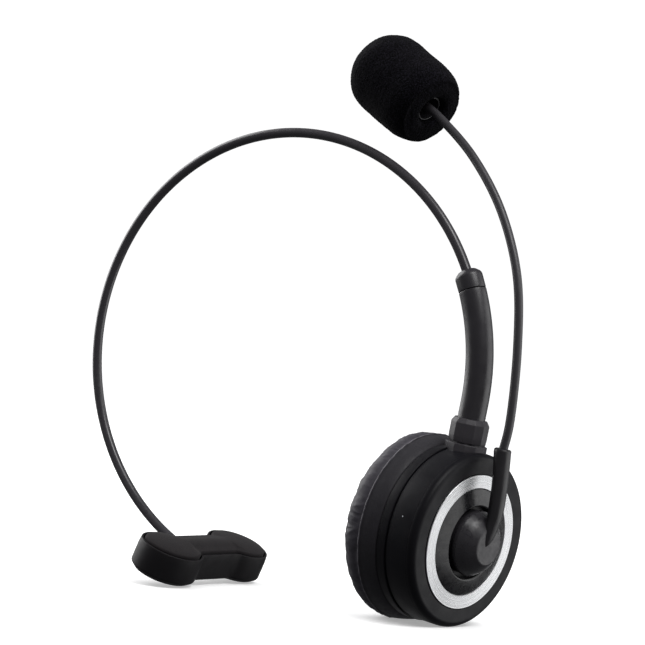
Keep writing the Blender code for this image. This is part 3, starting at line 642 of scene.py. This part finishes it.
def make_collar():
    """The collar under the nut: a dark neck up to the nut, and a foot that runs into the drum."""
    neck = COLLAR_R - 0.9
    levels = rounded(
        [
            (COLLAR_BORE_R, NUT_LOW, 0),
            (neck, NUT_LOW, 0),
            (neck, COLLAR_HIGH, 0),
            (COLLAR_R - 0.1, COLLAR_HIGH, 0.25),
            (COLLAR_R, COLLAR_HIGH - 2.6, 0.5),
            (COLLAR_R + 0.3, COLLAR_HIGH - 4.2, 0),
        ],
        closed=False,
        steps=4,
    )
    rows = flat_sided_rows(levels, COLLAR_TURN)
    foot = rows[-1]
    foot[:, 1] = np.sqrt((HOUSING_R - 0.4) ** 2 - foot[:, 0] ** 2) - 0.1
    inner = foot.copy()
    inner[:, [0, 2]] *= COLLAR_BORE_R / COLLAR_R
    collar = skinned("stem_collar_shell", rows + [inner], nut_plastic, CUP_FRAME, closed=True)
    finished(collar, "ear_cup", "satin_plastic", "stem_collar")


# ---------------------------------------------------------------- headband


def make_band():
    """The sprung band: one long arc of coated wire."""
    angles = np.linspace(BAND_FIRST, BAND_LAST, 300)
    walls = []
    for radius, order in ((BAND_R, angles), (BAND_BORE_R, angles[::-1])):
        walls += [(on_circle(a), on_circle(a, 1.0), ACROSS, radius) for a in order]
    band = skinned("headband_wire", swept_rows(walls, 32), coating, BAND_FRAME, closed=True)
    finished(band, "band", "band_coating", "band_coating")


# ---------------------------------------------------------------- temple pad


def dog_bone(inset=0.0):
    """The pad's outline, drawn in by inset: two oval lobes, filleted into a straight waist."""
    half_length, half_width = LOBE_HALF_LENGTH - inset, PAD_HALF_WIDTH - inset
    waist = WAIST_HALF_WIDTH - inset
    lobe = PAD_HALF_LENGTH - LOBE_HALF_LENGTH
    last = math.pi - math.asin(waist / half_width) * 1.2
    quarter = []
    for turn in np.linspace(0, last, 34):
        quarter.append((half_width * math.sin(turn), lobe + half_length * math.cos(turn)))
    inward, along = -half_width * math.cos(last), half_length * math.sin(last)
    x, y = quarter.pop()
    corner = y - (x - waist) * along / inward
    reach = (x - waist) * math.hypot(inward, along) / inward
    fillet = 0.9 * reach / math.tan(math.atan2(inward, along) / 2)
    quarter += rounded([(x, y, 0), (waist, corner, fillet), (waist, 0, 0)], closed=False)[1:-1]
    quarter += [(waist, y) for y in np.linspace(quarter[-1][1], 0, 12)[1:]]
    right = quarter + [(x, -y) for x, y in quarter[-2::-1]]
    left = [(-x, y) for x, y in right[-2:0:-1]]
    return np.array(right + left)


def outline_rows(levels):
    rows = []
    for inset, height in levels:
        outline = dog_bone(inset)
        rows.append(np.column_stack([outline, np.full(len(outline), height)]))
    return rows


def make_pad_tray():
    """The tray's tall wall with its thin lip."""
    wall = rounded(
        [
            (2.6, 1.0, 0),
            (1.15, 1.0, 0.3),
            (0.95, PAD_RIM, 0.18),
            (0.25, PAD_RIM, 0.22),
            (0.0, PAD_RIM + 2.5, 0),
            (0.0, PAD_OUTER - 1.6, 0.8),
            (1.9, PAD_OUTER, 1.2),
            (3.4, PAD_OUTER, 0),
        ],
        closed=False,
    )
    tray = skinned("temple_pad_tray", outline_rows(wall), tray_plastic, PAD_FRAME)
    finished(tray, "temple_pad", "satin_plastic", "pad_tray")


def make_pad_cushion():
    """The soft crowned face set into the tray, its rows drawn in to a spine between the lobes."""
    edge, foot = 1.55, PAD_RIM + 1.0
    side = [(edge + 0.5, foot, 0), (edge, foot, 0.3), (edge, -6.35, 0.9), (edge + 2.4, PAD_FACE, 0)]
    rows = outline_rows(rounded(side, closed=False))
    rim = rows[-1]
    lobe = PAD_HALF_LENGTH - LOBE_HALF_LENGTH
    spine = np.column_stack([np.zeros(len(rim)), np.clip(rim[:, 1], -lobe, lobe), np.zeros(len(rim))])
    for share in np.linspace(0, 1, 26)[1:]:
        row = rim + (spine - rim) * share
        crown = math.sin(share * math.pi / 2)
        row[:, 2] = rim[:, 2] - PAD_CROWN * crown
        for point in row:
            point[2] -= 0.12 * crown * noise.noise(Vector(point) / 9.0)
        rows.append(row)
    rows[-1][:, 2] = rows[-1][:, 2].mean()
    cushion = skinned("temple_pad_cushion", rows, pad_face, PAD_FRAME)
    finished(cushion, "temple_pad", "leatherette", "pad_cushion")


# ---------------------------------------------------------------- ear cup


def cushion_profile():
    """(radius, height) of the ear cushion from the housing round to its bore."""
    skirt = [(28.6, -6.15), (29.9, -6.2), (30.8, -7.4), (31.5, -9.2), (31.95, -11.2)]
    piping = [(32.0, -11.7), (32.32, -11.85), (32.38, -12.1), (32.1, -12.35), (31.75, -12.5)]
    roll = [(31.85, -13.1), (32.15, -14.6), (31.95, -16.4), (31.0, -18.4), (29.2, -20.2), (26.4, -21.5)]
    face = [(23.0, -21.9), (19.5, -21.6), (16.6, -20.6), (14.6, -18.9), (13.5, -16.4)]
    bore = [(13.0, -13.0), (12.8, -9.5), (12.9, -7.2)]
    return smooth_curve(skirt + piping + roll + face + bore, 6)


def wrinkle(turn, radius, height):
    """How far the leatherette stands off its smooth shape at one place."""
    across = Vector((math.cos(turn), math.sin(turn), 0))
    broad = noise.noise(across * 2.3 + Vector((0, 5.0, height * 0.05)))
    push = 0.05 * broad if height > CUSHION_SEAM_Z else 0.0
    if radius > 25:
        push += 0.16 * math.exp(-abs(height - CUSHION_SEAM_Z) / 0.5) * noise.noise(across * 14.0)
    past_seam = max(0.0, CUSHION_SEAM_Z - 0.5 - height)
    rolled = min(1.0, past_seam / 1.2) * min(1.0, max(0.0, radius - 14.0) / 8.0)
    pucker = noise.noise(across * 8.2 + Vector((0, 0, height * 0.10)))
    crease = abs(noise.noise(across * 17.0 + Vector((3.0, 0, height * 0.22 + radius * 0.05))))
    return push + rolled * (0.34 * pucker - 0.30 * crease + 0.22 * broad)


def make_ear_cushion():
    """A foam ring under leatherette: puckers run out from the seam, and the floor flattens it."""
    sides = 900
    profile = cushion_profile()
    rows = ring_rows(profile, sides)
    tangent = np.gradient(profile, axis=0)
    normal = np.column_stack([-tangent[:, 1], tangent[:, 0]])
    normal /= np.linalg.norm(normal, axis=1)[:, None]
    turns = np.arange(sides) * math.tau / sides
    for row, (radius, height), (out, up) in zip(rows, profile, normal):
        push = np.array([wrinkle(turn, radius, height) for turn in turns])
        row[:, 0] += np.cos(turns) * out * push
        row[:, 1] += np.sin(turns) * out * push
        row[:, 2] += up * push
    rows = flattened(rows)
    under = rows[[-1, 0]]
    under[..., 2] = CUSHION_BASE_Z
    rows = np.concatenate([rows, under])
    cushion = skinned("ear_cushion_cover", rows, cushion_leather, CUP_FRAME, closed=True)
    finished(cushion, "ear_cup", "leatherette", "ear_cushion")


def flattened(rows, clearance=0.05, softness=1.2):
    """Presses the soft rows up to the floor that the cup stands on, softly towards its rim."""
    matrix = np.array(CUP_FRAME.to_3x3())
    foot = np.array(CUP_FRAME.translation) / MM
    world = rows @ matrix.T + foot
    height = world[..., 2]
    raised = clearance + softness * np.logaddexp(0, (height - clearance) / softness)
    world[..., 2] = np.where(height < clearance, np.maximum(raised * 0.25, clearance), height)
    return (world - foot) @ matrix


def make_speaker_cloth():
    """The cloth stretched before the speaker, a little domed, its edge under the cushion's bore."""
    spots = np.linspace(0, CLOTH_R, 16)
    front = [(r, CLOTH_Z - CLOTH_RISE * (1 - (r / CLOTH_R) ** 2)) for r in spots]
    back = [(r, z + CLOTH_THICK) for r, z in front[::-1]]
    piece = turned("speaker_cloth_disc", front + back, cloth, CUP_FRAME, 96)
    finished(piece, "ear_cup", "speaker_cloth", "speaker_cloth")


def make_rear_ring():
    """The rear shell: a web round the speaker, and the ring that shows behind the drum."""
    web, step = REAR_LOW + 1.35, 28.4
    profile = rounded(
        [
            (SPEAKER_HOLE_R, web, 0),
            (step, web, 0),
            (step + 0.2, REAR_LOW, 0.1),
            (REAR_R - 0.1, REAR_LOW, 0.3),
            (REAR_R, REAR_HIGH, 0.22),
            (step, REAR_HIGH, 0),
            (step, web + 1.2, 0),
            (SPEAKER_HOLE_R, web + 1.2, 0),
        ]
    )
    piece = turned("rear_ring", profile, satin, CUP_FRAME)
    finished(piece, "ear_cup", "satin_plastic", "rear_housing")


def make_drum():
    """The drum, with its openings for the buttons, the charging socket and the status light."""
    inner = HOUSING_R - HOUSING_WALL
    top = BEZEL_SEAM_Z - 0.02
    profile = rounded(
        [
            (inner, DRUM_LOW, 0),
            (HOUSING_R - 0.05, DRUM_LOW, 0.45),
            (HOUSING_R, top, 0.06),
            (inner, top, 0),
        ]
    )
    drum = turned("drum_wall", profile, satin, CUP_FRAME, 240)
    for name, half_length in BUTTON_HALF_LENGTHS.items():
        outline = bar_outline(half_length + BUTTON_GAP, BUTTON_HALF_HEIGHT + BUTTON_GAP)
        cut(drum, bar("button_slot", outline, [(0, -5.0), (0, 3.0)], satin, button_frame(name)))
    mouth = bar_outline(SOCKET_HALF_LENGTH + 0.4, SOCKET_HALF_HEIGHT + 0.4)
    cut(drum, bar("socket_slot", mouth, [(0, -4.0), (0, 3.0)], satin, socket_frame()))
    hole = ring_rows([(LIGHT_R + 0.08, -3.0), (LIGHT_R + 0.08, 3.0)], 32)
    cut(drum, skinned("light_hole", hole, satin, light_frame()))
    finished(drum, "ear_cup", "satin_plastic", "main_housing")


def make_bezel():
    """The front shell: a broad soft edge round a flat face with a seat for the silver ring."""
    low, back, seat, hole = BEZEL_SEAM_Z + 0.02, BEZEL_SEAM_Z + 0.1, 8.3, 3.6
    profile = rounded(
        [
            (hole, back, 0),
            (RIM_R - 1.0, back, 0),
            (RIM_R - 0.6, low, 0.05),
            (HOUSING_R - 0.02, low, 0.06),
            (HOUSING_R - 0.10, FACE_Z, BEZEL_ROUNDING),
            (RING_R + 0.2, FACE_Z, 0.12),
            (RING_R + 0.2, seat, 0),
            (hole, seat, 0),
        ],
        steps=10,
    )
    bezel = turned("bezel", profile, bezel_plastic, CUP_FRAME, 240)
    finished(bezel, "ear_cup", "satin_plastic", "front_bezel")


def make_silver_ring():
    """The spun ring with its turned grooves."""
    first, last, edge, foot = RING_BORE_R + 0.25, RING_R - 0.25, RING_Z - 0.15, 8.6
    half = (last - first) / RING_GROOVES / 2
    profile = [(RING_R, foot), (RING_R, edge), (last + 0.08, RING_Z)]
    for i in range(RING_GROOVES):
        radius = last - (2 * i + 1) * half
        for offset, depth in ((0.85, 0.0), (0.0, 0.045), (-0.85, 0.0)):
            profile.append((radius + half * offset, RING_Z - depth))
    profile += [(first - 0.08, RING_Z), (RING_BORE_R, edge), (RING_BORE_R, foot)]
    ring = turned("silver_ring", profile, silver, CUP_FRAME, 256)
    finished(ring, "ear_cup", "spun_aluminium", "trim_ring")


def make_disc():
    """The glossy disc inside the silver ring, rising to the hub."""
    outer, foot = RING_BORE_R - 0.12, 8.6
    profile = rounded(
        [
            (DISC_BORE_R, foot, 0),
            (outer, foot, 0),
            (outer, foot + 1.0, 0.3),
            (DISC_BORE_R + 0.5, DISC_TOP, 0.5),
            (DISC_BORE_R, DISC_TOP - 0.35, 0.3),
        ]
    )
    disc = turned("gloss_disc", profile, gloss, CUP_FRAME, 240)
    finished(disc, "ear_cup", "gloss_plastic", "face_disc")


# ---------------------------------------------------------------- side fittings


def bar_outline(half_length, half_height, steps=10):
    """A long rounded bar."""
    points = []
    for side, start in ((1, -90.0), (-1, 90.0)):
        for i in range(steps + 1):
            turn = math.radians(start + 180.0 * i / steps)
            x = side * (half_length - half_height) + half_height * math.cos(turn)
            points.append((x, half_height * math.sin(turn)))
    return np.array(points)


def bar(name, outline, levels, material, matrix):
    """A bar along Z through (inset, height) levels of its outline."""
    length, height = outline[:, 0].max(), outline[:, 1].max()
    rows = []
    for inset, z in levels:
        scale = np.array([(length - inset) / length, (height - inset) / height])
        rows.append(np.column_stack([outline * scale, np.full(len(outline), z)]))
    return skinned(name, rows, material, matrix)


def side_frame(node, z):
    """A frame on the drum's wall at a CAD node, its Z out of the wall and its X round the cup."""
    low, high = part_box(node)
    local = CUP_FRAME.inverted() @ ((low + high) / 2)
    out = Vector((local.x, local.y, 0)).normalized()
    up = Vector((0, 0, 1))
    return CUP_FRAME @ basis(up.cross(out), up, out, (out * HOUSING_R + up * z) * MM)


def button_frame(name):
    return side_frame(name + "_button", BUTTON_Z)


def socket_frame():
    return side_frame("charging_socket", SOCKET_Z)


def light_frame():
    return side_frame("status_light", LIGHT_Z)


def make_buttons():
    """Rubber caps, crowned and rounded at their edges."""
    crown = [(0.0, -3.6, 0), (0.0, BUTTON_PROUD, 0.45), (1.0, BUTTON_PROUD + 0.08, 0)]
    levels = rounded(crown, closed=False)
    for name, half_length in BUTTON_HALF_LENGTHS.items():
        outline = bar_outline(half_length, BUTTON_HALF_HEIGHT)
        cap = bar(name + "_cap", outline, levels, rubber, button_frame(name))
        finished(cap, name + "_button", "soft_rubber", name + "_button")


def make_side_fittings():
    """The charging socket's metal mouth and the tiny status light."""
    outer = bar_outline(SOCKET_HALF_LENGTH, SOCKET_HALF_HEIGHT)
    inner = bar_outline(SOCKET_HALF_LENGTH - 0.3, SOCKET_HALF_HEIGHT - 0.3)
    rows = []
    for outline, z in ((outer, -7.0), (outer, -0.75), (inner, -0.6), (inner, -6.0)):
        rows.append(np.column_stack([outline, np.full(len(outline), z)]))
    shell = skinned("charging_shell", rows, steel, socket_frame())
    finished(shell, "ear_cup", "spring_steel", "charging_socket")

    profile = [(0, -2.4), (LIGHT_R, -2.4), (LIGHT_R, -0.22), (LIGHT_R - 0.08, -0.12), (0, -0.08)]
    light = turned("status_lens", profile, lens, light_frame(), 24)
    finished(light, "ear_cup", "light_pipe", "status_light")


# ---------------------------------------------------------------- microphone


def arm_rows(sides=48):
    """Ovals of the arm, given as (height, half width, half depth, across, middle), and its mouth."""
    sections = [
        (0.3, 0.25, 0.3, -1.75, 17.5),
        (1.6, 1.45, 1.2, -1.1, 17.1),
        (4.0, 2.3, 1.9, -0.5, 16.95),
        (7.5, 2.65, 2.3, -0.15, 17.1),
        (12.0, 2.85, 2.5, 0.0, 17.4),
        (20.0, 2.95, 2.6, 0.0, 17.0),
        (27.0, 2.95, 2.75, 0.0, 16.1),
        (31.8, 2.95, 2.95, 0.0, 15.3),
    ]
    rows = []
    turns = np.arange(sides) * math.tau / sides
    for height, half_width, half_depth, across, middle in smooth_curve(sections, 8):
        x = across + half_width * np.cos(turns)
        z = middle + half_depth * np.sin(turns)
        rows.append(np.column_stack([x, np.full(sides, height), z]))
    last = rows[-1]
    centre = last.mean(axis=0)
    for share, lift in ((0.99, 0.7), (0.94, 1.0), (0.82, 1.2), (0.56, 1.2), (0.54, 0.2)):
        row = centre + (last - centre) * share
        row[:, 1] = last[:, 1] + lift
        rows.append(row)
    return rows


def make_arm():
    """The hub on the cup's face and the blade-like arm on it."""
    neck, screw_r, foot, pit = HUB_R - 0.4, 3.3, 8.75, 4.2
    profile = rounded(
        [
            (0, HUB_TOP, 0),
            (HUB_TOP_R, HUB_TOP - 0.05, 1.7),
            (9.3, 15.1, 8.0),
            (HUB_R - 0.15, HUB_SHOULDER + 0.3, 0.4),
            (HUB_R, 10.9, 0.3),
            (neck, 10.6, 0.1),
            (neck, foot, 0),
            (screw_r, foot, 0),
            (screw_r, pit, 0),
            (0, pit, 0),
        ],
        closed=False,
        steps=8,
    )
    hub = turned("arm_hub", profile, hub_plastic, CUP_FRAME, 200)
    finished(hub, "mic_arm", "satin_plastic", "mic_arm")
    blade = skinned("arm_blade", arm_rows(), arm_plastic, CUP_FRAME)
    finished(blade, "mic_arm", "satin_plastic")


def make_boom():
    """The bendable boom on one smooth curve."""
    route = smooth_curve(BOOM_ROUTE, 14)
    heading = np.gradient(route, axis=0)
    heading /= np.linalg.norm(heading, axis=1)[:, None]
    across = np.array((1.0, 0.0, 0.0))
    walls = []
    for radius, order in ((BOOM_R, 1), (BOOM_BORE_R, -1)):
        for (up, out), (along_up, along_out) in zip(route[::order], heading[::order]):
            walls.append(((0, up, out), across, (0, -along_out, along_up), radius))
    boom = skinned("boom_sleeve", swept_rows(walls, 28), boom_rubber, CUP_FRAME, closed=True)
    finished(boom, "mic_arm", "soft_rubber", "boom_tube")


def foam_outline():
    """The windscreen's (radius, height) outline from its mouth over its round corner to its dome."""
    outline = [(FOAM_BORE_R, height) for height in (FOAM_BORE_DEPTH, 8.0, 3.0)]
    outline += [(FOAM_BORE_R + 0.4, 1.0), (FOAM_BORE_R + 1.5, 0.1), (8.6, 0.0), (11.0, 0.5)]
    wide, tall = FOAM_CORNER
    for turn in np.radians((20, 38, 56, 74, 90)):
        outline.append((FOAM_R - wide + wide * math.sin(turn), tall - tall * math.cos(turn)))
    outline += [(FOAM_R, 14.5), (FOAM_R, 19.5)]
    for turn in np.radians((0, 18, 34, 50, 65, 78)):
        height = FOAM_LENGTH - FOAM_DOME + FOAM_DOME * math.sin(turn)
        outline.append((FOAM_R * math.cos(turn), height))
    return outline + [(0.0, FOAM_LENGTH)]


def evenly_spaced(curve, count):
    """The curve's points at equal steps along it."""
    steps = np.concatenate([[0], np.cumsum(np.linalg.norm(np.diff(curve, axis=0), axis=1))])
    spots = np.linspace(0, steps[-1], count)
    return np.column_stack([np.interp(spots, steps, curve[:, axis]) for axis in (0, 1)])


def make_windscreen():
    """The foam windscreen, its open cells modelled in its surface."""
    curve = smooth_curve(foam_outline(), 24)
    curve[:, 0] = np.maximum(curve[:, 0], 0.0)
    profile = np.vstack([[0.0, FOAM_BORE_DEPTH], evenly_spaced(curve, 210)])
    rows = ring_rows(profile, 300)
    tangent = np.gradient(profile, axis=0)
    normal = np.column_stack([tangent[:, 1], -tangent[:, 0]])
    normal /= np.maximum(np.linalg.norm(normal, axis=1), 1e-6)[:, None]
    for row, (out, along) in zip(rows[2:-1], normal[2:-1]):
        for point in row:
            spot = Vector(point)
            cell = noise.voronoi(spot / 0.85)[0][0]
            push = 0.22 * (0.5 - cell) + 0.25 * noise.noise(spot / 7.0)
            across = Vector((point[0], point[1], 0)).normalized()
            point += push * np.array((across.x * out, across.y * out, along))
    foam = skinned("foam_ball", rows, foam_black, WINDSCREEN_FRAME)
    finished(foam, "mic_arm", "foam", "foam_windscreen")


def make_holder():
    """The tube in the windscreen's mouth that the boom goes into."""
    low, high = 1.9, 16.0
    profile = rounded(
        [
            (HOLDER_BORE_R, high, 0),
            (HOLDER_BORE_R, low, 0.1),
            (HOLDER_R, low, 0.2),
            (HOLDER_R, high, 0),
        ]
    )
    piece = turned("mic_sleeve", profile, hub_plastic, WINDSCREEN_FRAME, 96)
    finished(piece, "mic_arm", "gloss_plastic", "mic_holder")


# ---------------------------------------------------------------- stage, light and camera


def make_stage():
    """A plain pale floor, wide enough to end beyond every view."""
    floor_mesh = bpy.data.meshes.new("floor")
    corners = [(x * FLOOR_REACH, y * FLOOR_REACH, 0) for x, y in ((-1, -1), (1, -1), (1, 1), (-1, 1))]
    floor_mesh.from_pydata(corners, [], [(0, 1, 2, 3)])
    floor = bpy.data.objects.new("floor", floor_mesh)
    bpy.context.scene.collection.objects.link(floor)
    floor.location.z = -0.0001
    surface = Surface("floor_white", (0.92, 0.92, 0.92), 0.8)
    surface.mottled(surface.noise(400.0, 2.0), 0.99, 1.01)
    surface.set("Specular IOR Level", 0.1)
    surface.set("Emission Color", (1.0, 1.0, 1.0, 1.0))
    surface.set("Emission Strength", 0.34)
    floor_mesh.materials.append(surface.done())
    floor.visible_diffuse = False
    floor.visible_glossy = False


def view_axes():
    """Right, up and back of the camera, as unit vectors."""
    azimuth, elevation = math.radians(CAMERA_AZIMUTH), math.radians(CAMERA_ELEVATION)
    roll = math.radians(CAMERA_ROLL)
    flat = Vector((math.sin(azimuth), -math.cos(azimuth), 0)) * math.cos(elevation)
    back = flat + Vector((0, 0, math.sin(elevation)))
    level = Vector((math.cos(azimuth), math.sin(azimuth), 0))
    upright = back.cross(level)
    right = level * math.cos(roll) + upright * math.sin(roll)
    return right, back.cross(right), back


def make_camera():
    right, up, back = view_axes()
    data = bpy.data.cameras.new("camera")
    data.lens, data.sensor_width = CAMERA_LENS, SENSOR
    camera = bpy.data.objects.new("camera", data)
    bpy.context.scene.collection.objects.link(camera)
    camera.matrix_world = basis(right, up, back, CAMERA_PLACE)
    bpy.context.scene.camera = camera


def area_light(name, direction, size, power):
    """A soft box that faces the headset and isn't seen by the camera itself."""
    data = bpy.data.lights.new(name, "AREA")
    data.shape = "RECTANGLE"
    data.size, data.size_y = size
    data.energy = power
    light = bpy.data.objects.new(name, data)
    bpy.context.scene.collection.objects.link(light)
    light.location = PANEL_TARGET + direction.normalized() * PANEL_DISTANCE
    light.rotation_mode = "QUATERNION"
    light.rotation_quaternion = direction.to_track_quat("Z", "Y")
    light.visible_camera = False


def make_lights():
    """An even top light for the floor, and the panels that shape the black plastic."""
    data = bpy.data.lights.new("top_light", "SUN")
    data.energy = 2.3
    data.angle = math.radians(100)
    light = bpy.data.objects.new("top_light", data)
    bpy.context.scene.collection.objects.link(light)
    light.visible_glossy = False
    for name, (direction, size, power) in PANELS.items():
        area_light(name, direction, size, power)


def add_room(tree):
    """The room as the headset sees it: dim, and a little brighter behind the headset."""
    room = tree.nodes.new("ShaderNodeBackground")
    direction = tree.nodes.new("ShaderNodeTexCoord")
    dot = tree.nodes.new("ShaderNodeVectorMath")
    dot.operation = "DOT_PRODUCT"
    back = view_axes()[2]
    dot.inputs[1].default_value = -Vector((back.x, back.y, -0.15)).normalized()
    half = tree.nodes.new("ShaderNodeMapRange")
    half.inputs["From Min"].default_value = -1.0
    ramp = tree.nodes.new("ShaderNodeValToRGB")
    front, behind = ramp.color_ramp.elements
    front.position, front.color = 0.55, (0.10, 0.10, 0.105, 1.0)
    behind.position, behind.color = 0.90, (0.15, 0.15, 0.155, 1.0)
    links = tree.links
    links.new(direction.outputs["Generated"], dot.inputs[0])
    links.new(dot.outputs["Value"], half.inputs["Value"])
    links.new(half.outputs[0], ramp.inputs[0])
    links.new(ramp.outputs[0], room.inputs["Color"])
    return room


def make_world():
    """White to the camera, and the dim room to everything else."""
    world = bpy.data.worlds.new("studio")
    bpy.context.scene.world = world
    world.use_nodes = True
    tree = world.node_tree
    tree.nodes.clear()
    room = add_room(tree)
    seen = tree.nodes.new("ShaderNodeBackground")
    seen.inputs["Color"].default_value = (1.0, 1.0, 1.0, 1.0)
    seen.inputs["Strength"].default_value = 1.05
    path = tree.nodes.new("ShaderNodeLightPath")
    mix = tree.nodes.new("ShaderNodeMixShader")
    output = tree.nodes.new("ShaderNodeOutputWorld")
    tree.links.new(path.outputs["Is Camera Ray"], mix.inputs[0])
    tree.links.new(room.outputs[0], mix.inputs[1])
    tree.links.new(seen.outputs[0], mix.inputs[2])
    tree.links.new(mix.outputs[0], output.inputs[0])


bpy.context.scene.view_settings.view_transform = "Standard"
make_camera()
dress_cad_nodes()
make_sleeve()
make_cap()
make_nut()
make_collar()
make_band()
make_pad_tray()
make_pad_cushion()
make_ear_cushion()
make_speaker_cloth()
make_rear_ring()
make_drum()
make_bezel()
make_silver_ring()
make_disc()
make_buttons()
make_side_fittings()
make_arm()
make_boom()
make_windscreen()
make_holder()
make_stage()
make_lights()
make_world()
